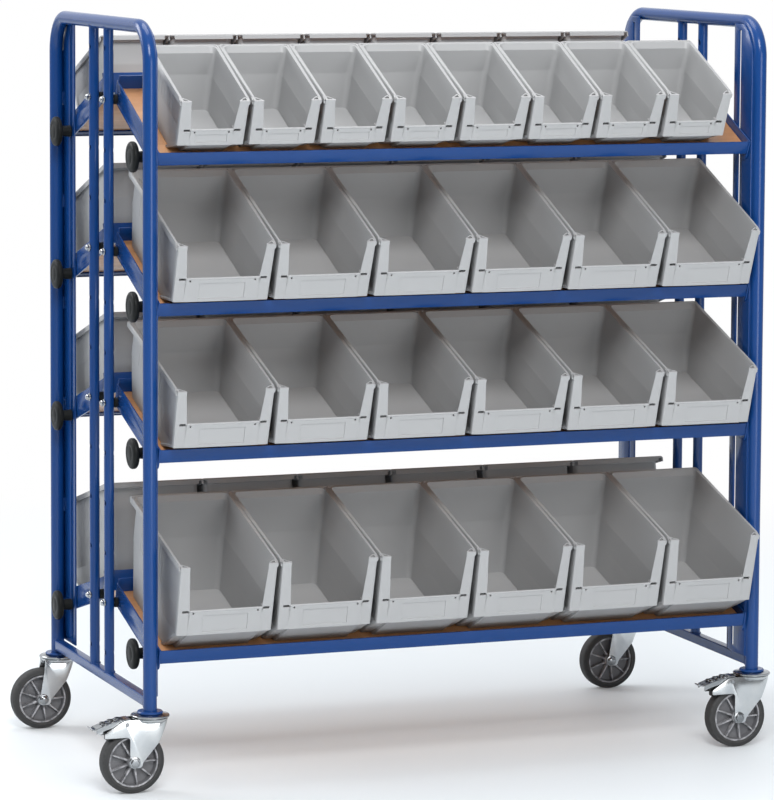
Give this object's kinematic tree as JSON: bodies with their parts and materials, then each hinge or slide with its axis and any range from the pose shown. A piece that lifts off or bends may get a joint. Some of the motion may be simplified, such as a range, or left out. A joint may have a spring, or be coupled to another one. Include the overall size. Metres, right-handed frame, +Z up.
{
  "type": "mobile bin cart",
  "caption": "Mobile picking cart: tube end frames on swivel casters, tilting shelves on both long sides with rows of open-front storage bins, clamped by knobs in slotted guides.",
  "frame": {"origin": "on the floor below the middle of the whole cart at rest", "axes": "+X along the cart from its left to its right end frame, +Y from its front to its rear side, +Z up"},
  "size_m": [1.4489, 0.7962, 1.4874],
  "materials": {
    "blue_paint": "semi-gloss powder coat",
    "zinc": "bright zinc plating",
    "beech": "clear lacquer",
    "grey_plastic": "moulded, satin",
    "black_plastic": "moulded, matte",
    "rim_plastic": "moulded, satin",
    "tyre_rubber": "solid rubber, matte"
  },
  "bodies": {
    "cart_frame": {"left_end_frame": "blue_paint", "right_end_frame": "blue_paint", "guide_plates": "blue_paint", "caster_heads": "zinc", "pivot_bolts": "zinc", "pivot_spacers": "black_plastic"},
    "front_shelf_1": {"front_shelf_1_frame": "blue_paint", "front_shelf_1_board": "beech", "front_shelf_1_bins": "grey_plastic"},
    "front_shelf_1_clamp": {"front_shelf_1_clamp_nuts": "zinc"},
    "front_shelf_1_knob_pair": {"front_shelf_1_knobs": "black_plastic"},
    "front_shelf_2": {"front_shelf_2_frame": "blue_paint", "front_shelf_2_board": "beech", "front_shelf_2_bins": "grey_plastic"},
    "front_shelf_2_clamp": {"front_shelf_2_clamp_nuts": "zinc"},
    "front_shelf_2_knob_pair": {"front_shelf_2_knobs": "black_plastic"},
    "front_shelf_3": {"front_shelf_3_frame": "blue_paint", "front_shelf_3_board": "beech", "front_shelf_3_bins": "grey_plastic"},
    "front_shelf_3_clamp": {"front_shelf_3_clamp_nuts": "zinc"},
    "front_shelf_3_knob_pair": {"front_shelf_3_knobs": "black_plastic"},
    "front_shelf_4": {"front_shelf_4_frame": "blue_paint", "front_shelf_4_board": "beech", "front_shelf_4_bins": "grey_plastic"},
    "front_shelf_4_clamp": {"front_shelf_4_clamp_nuts": "zinc"},
    "front_shelf_4_knob_pair": {"front_shelf_4_knobs": "black_plastic"},
    "rear_shelf_1": {"rear_shelf_1_frame": "blue_paint", "rear_shelf_1_board": "beech", "rear_shelf_1_bins": "grey_plastic"},
    "rear_shelf_1_clamp": {"rear_shelf_1_clamp_nuts": "zinc"},
    "rear_shelf_1_knob_pair": {"rear_shelf_1_knobs": "black_plastic"},
    "rear_shelf_2": {"rear_shelf_2_frame": "blue_paint", "rear_shelf_2_board": "beech", "rear_shelf_2_bins": "grey_plastic"},
    "rear_shelf_2_clamp": {"rear_shelf_2_clamp_nuts": "zinc"},
    "rear_shelf_2_knob_pair": {"rear_shelf_2_knobs": "black_plastic"},
    "rear_shelf_3": {"rear_shelf_3_frame": "blue_paint", "rear_shelf_3_board": "beech", "rear_shelf_3_bins": "grey_plastic"},
    "rear_shelf_3_clamp": {"rear_shelf_3_clamp_nuts": "zinc"},
    "rear_shelf_3_knob_pair": {"rear_shelf_3_knobs": "black_plastic"},
    "rear_shelf_4": {"rear_shelf_4_frame": "blue_paint", "rear_shelf_4_board": "beech", "rear_shelf_4_bins": "grey_plastic"},
    "rear_shelf_4_clamp": {"rear_shelf_4_clamp_nuts": "zinc"},
    "rear_shelf_4_knob_pair": {"rear_shelf_4_knobs": "black_plastic"},
    "front_left_caster": {"front_left_fork": "zinc"},
    "front_left_wheel": {"front_left_wheel_rim": "rim_plastic", "front_left_tyre": "tyre_rubber"},
    "front_left_pedal": {"front_left_brake_pedal": "zinc"},
    "front_right_caster": {"front_right_fork": "zinc"},
    "front_right_wheel": {"front_right_wheel_rim": "rim_plastic", "front_right_tyre": "tyre_rubber"},
    "front_right_pedal": {"front_right_brake_pedal": "zinc"},
    "rear_left_caster": {"rear_left_fork": "zinc"},
    "rear_left_wheel": {"rear_left_wheel_rim": "rim_plastic", "rear_left_tyre": "tyre_rubber"},
    "rear_right_caster": {"rear_right_fork": "zinc"},
    "rear_right_wheel": {"rear_right_wheel_rim": "rim_plastic", "rear_right_tyre": "tyre_rubber"}
  },
  "joints": [
    {"name": "front_shelf_1_tilt", "type": "hinge", "parent": "cart_frame", "child": "front_shelf_1", "pos_m": [0.043, -0.0481, 1.323], "axis": [1, 0, 0], "range_deg": [-25.1, 3]},
    {"name": "front_shelf_1_clamp_slide", "type": "slide", "parent": "cart_frame", "child": "front_shelf_1_clamp", "axis": [0, 0, 1], "range_m": [-0.0126, 0.1016]},
    {"name": "front_shelf_1_knob_turn", "type": "hinge", "parent": "front_shelf_1_clamp", "child": "front_shelf_1_knob_pair", "pos_m": [0.043, -0.2601, 1.22369], "axis": [1, 0, 0], "continuous": true},
    {"name": "front_shelf_2_tilt", "type": "hinge", "parent": "cart_frame", "child": "front_shelf_2", "pos_m": [0.043, -0.0481, 1.023], "axis": [1, 0, 0], "range_deg": [-22.6, 3]},
    {"name": "front_shelf_2_clamp_slide", "type": "slide", "parent": "cart_frame", "child": "front_shelf_2_clamp", "axis": [0, 0, 1], "range_m": [-0.0124, 0.09]},
    {"name": "front_shelf_2_knob_turn", "type": "hinge", "parent": "front_shelf_2_clamp", "child": "front_shelf_2_knob_pair", "pos_m": [0.043, -0.2601, 0.93475], "axis": [1, 0, 0], "continuous": true},
    {"name": "front_shelf_3_tilt", "type": "hinge", "parent": "cart_frame", "child": "front_shelf_3", "pos_m": [0.043, -0.0481, 0.723], "axis": [1, 0, 0], "range_deg": [-18.8, 3]},
    {"name": "front_shelf_3_clamp_slide", "type": "slide", "parent": "cart_frame", "child": "front_shelf_3_clamp", "axis": [0, 0, 1], "range_m": [-0.0122, 0.0735]},
    {"name": "front_shelf_3_knob_turn", "type": "hinge", "parent": "front_shelf_3_clamp", "child": "front_shelf_3_knob_pair", "pos_m": [0.043, -0.2601, 0.65083], "axis": [1, 0, 0], "continuous": true},
    {"name": "front_shelf_4_tilt", "type": "hinge", "parent": "cart_frame", "child": "front_shelf_4", "pos_m": [0.043, -0.0481, 0.323], "axis": [1, 0, 0], "range_deg": [-16.7, 3]},
    {"name": "front_shelf_4_clamp_slide", "type": "slide", "parent": "cart_frame", "child": "front_shelf_4_clamp", "axis": [0, 0, 1], "range_m": [-0.0121, 0.0648]},
    {"name": "front_shelf_4_knob_turn", "type": "hinge", "parent": "front_shelf_4_clamp", "child": "front_shelf_4_knob_pair", "pos_m": [0.043, -0.2601, 0.2594], "axis": [1, 0, 0], "continuous": true},
    {"name": "rear_shelf_1_tilt", "type": "hinge", "parent": "cart_frame", "child": "rear_shelf_1", "pos_m": [0.043, 0.0519, 1.323], "axis": [-1, 0, 0], "range_deg": [-20.8, 3]},
    {"name": "rear_shelf_1_clamp_slide", "type": "slide", "parent": "cart_frame", "child": "rear_shelf_1_clamp", "axis": [0, 0, 1], "range_m": [-0.0123, 0.0821]},
    {"name": "rear_shelf_1_knob_turn", "type": "hinge", "parent": "rear_shelf_1_clamp", "child": "rear_shelf_1_knob_pair", "pos_m": [0.043, 0.2639, 1.24247], "axis": [1, 0, 0], "continuous": true},
    {"name": "rear_shelf_2_tilt", "type": "hinge", "parent": "cart_frame", "child": "rear_shelf_2", "pos_m": [0.043, 0.0519, 1.023], "axis": [-1, 0, 0], "range_deg": [-18.8, 3]},
    {"name": "rear_shelf_2_clamp_slide", "type": "slide", "parent": "cart_frame", "child": "rear_shelf_2_clamp", "axis": [0, 0, 1], "range_m": [-0.0122, 0.0735]},
    {"name": "rear_shelf_2_knob_turn", "type": "hinge", "parent": "rear_shelf_2_clamp", "child": "rear_shelf_2_knob_pair", "pos_m": [0.043, 0.2639, 0.95083], "axis": [1, 0, 0], "continuous": true},
    {"name": "rear_shelf_3_tilt", "type": "hinge", "parent": "cart_frame", "child": "rear_shelf_3", "pos_m": [0.043, 0.0519, 0.723], "axis": [-1, 0, 0], "range_deg": [-16.8, 3]},
    {"name": "rear_shelf_3_clamp_slide", "type": "slide", "parent": "cart_frame", "child": "rear_shelf_3_clamp", "axis": [0, 0, 1], "range_m": [-0.0121, 0.0652]},
    {"name": "rear_shelf_3_knob_turn", "type": "hinge", "parent": "rear_shelf_3_clamp", "child": "rear_shelf_3_knob_pair", "pos_m": [0.043, 0.2639, 0.65899], "axis": [1, 0, 0], "continuous": true},
    {"name": "rear_shelf_4_tilt", "type": "hinge", "parent": "cart_frame", "child": "rear_shelf_4", "pos_m": [0.043, 0.0519, 0.323], "axis": [-1, 0, 0], "range_deg": [-15, 3]},
    {"name": "rear_shelf_4_clamp_slide", "type": "slide", "parent": "cart_frame", "child": "rear_shelf_4_clamp", "axis": [0, 0, 1], "range_m": [-0.012, 0.0579]},
    {"name": "rear_shelf_4_knob_turn", "type": "hinge", "parent": "rear_shelf_4_clamp", "child": "rear_shelf_4_knob_pair", "pos_m": [0.043, 0.2639, 0.26619], "axis": [1, 0, 0], "continuous": true},
    {"name": "front_left_swivel", "type": "hinge", "parent": "cart_frame", "child": "front_left_caster", "pos_m": [-0.599, -0.3181, 0.146], "axis": [0, 0, 1], "continuous": true},
    {"name": "front_left_roll", "type": "hinge", "parent": "front_left_caster", "child": "front_left_wheel", "pos_m": [-0.636, -0.3181, 0.0625], "axis": [0, 1, 0], "continuous": true},
    {"name": "front_left_brake", "type": "hinge", "parent": "front_left_caster", "child": "front_left_pedal", "pos_m": [-0.651, -0.3181, 0.137], "axis": [0, -1, 0], "range_deg": [0, 12]},
    {"name": "front_right_swivel", "type": "hinge", "parent": "cart_frame", "child": "front_right_caster", "pos_m": [0.685, -0.3181, 0.146], "axis": [0, 0, 1], "continuous": true},
    {"name": "front_right_roll", "type": "hinge", "parent": "front_right_caster", "child": "front_right_wheel", "pos_m": [0.648, -0.3181, 0.0625], "axis": [0, 1, 0], "continuous": true},
    {"name": "front_right_brake", "type": "hinge", "parent": "front_right_caster", "child": "front_right_pedal", "pos_m": [0.633, -0.3181, 0.137], "axis": [0, -1, 0], "range_deg": [0, 12]},
    {"name": "rear_left_swivel", "type": "hinge", "parent": "cart_frame", "child": "rear_left_caster", "pos_m": [-0.599, 0.3219, 0.146], "axis": [0, 0, 1], "continuous": true},
    {"name": "rear_left_roll", "type": "hinge", "parent": "rear_left_caster", "child": "rear_left_wheel", "pos_m": [-0.636, 0.3219, 0.0625], "axis": [0, 1, 0], "continuous": true},
    {"name": "rear_right_swivel", "type": "hinge", "parent": "cart_frame", "child": "rear_right_caster", "pos_m": [0.685, 0.3219, 0.146], "axis": [0, 0, 1], "continuous": true},
    {"name": "rear_right_roll", "type": "hinge", "parent": "rear_right_caster", "child": "rear_right_wheel", "pos_m": [0.648, 0.3219, 0.0625], "axis": [0, 1, 0], "continuous": true}
  ],
  "couplings": [
    {"joint": "front_shelf_1_clamp_slide", "follows": "front_shelf_1_tilt", "m_per_rad": -0.2308},
    {"joint": "front_shelf_2_clamp_slide", "follows": "front_shelf_2_tilt", "m_per_rad": -0.227},
    {"joint": "front_shelf_3_clamp_slide", "follows": "front_shelf_3_tilt", "m_per_rad": -0.2226},
    {"joint": "front_shelf_4_clamp_slide", "follows": "front_shelf_4_tilt", "m_per_rad": -0.2206},
    {"joint": "rear_shelf_1_clamp_slide", "follows": "rear_shelf_1_tilt", "m_per_rad": -0.2248},
    {"joint": "rear_shelf_2_clamp_slide", "follows": "rear_shelf_2_tilt", "m_per_rad": -0.2226},
    {"joint": "rear_shelf_3_clamp_slide", "follows": "rear_shelf_3_tilt", "m_per_rad": -0.2207},
    {"joint": "rear_shelf_4_clamp_slide", "follows": "rear_shelf_4_tilt", "m_per_rad": -0.2191}
  ]
}
